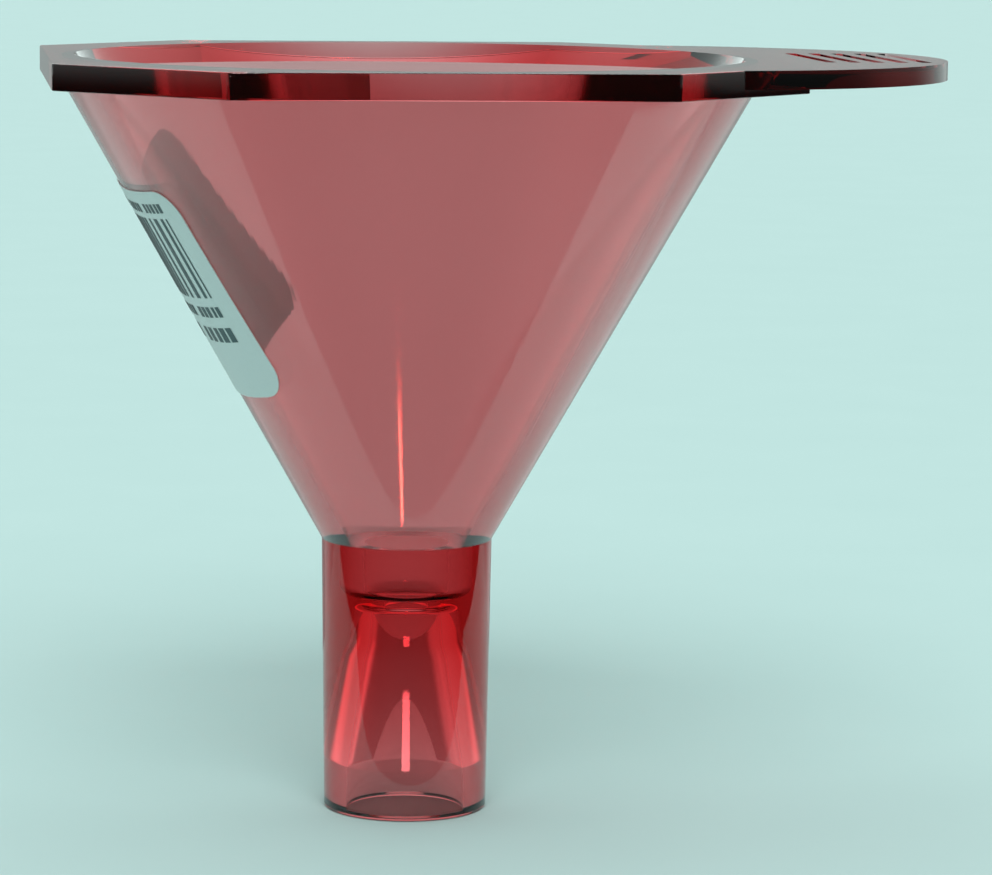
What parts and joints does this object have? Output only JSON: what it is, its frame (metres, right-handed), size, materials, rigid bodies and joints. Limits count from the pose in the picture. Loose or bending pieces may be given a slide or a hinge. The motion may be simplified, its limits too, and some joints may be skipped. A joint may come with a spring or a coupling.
{
  "type": "powder funnel",
  "caption": "Clear red plastic powder funnel with an octagonal rim, a thumb tab and a stepped case-mouth socket in its spout.",
  "frame": {"origin": "centre of the spout's open end, where the funnel seats on a case mouth", "axes": "+Z along the funnel's axis towards its wide mouth, +X towards the thumb tab"},
  "size_m": [0.0972, 0.078, 0.082],
  "materials": {
    "red_clear_plastic": "clear red moulded plastic, glossy rim and spout, lightly frosted cone",
    "label_paper": "matt coated label paper"
  },
  "bodies": {
    "root": {"funnel_body": "red_clear_plastic", "barcode_label": "label_paper"}
  },
  "joints": []
}
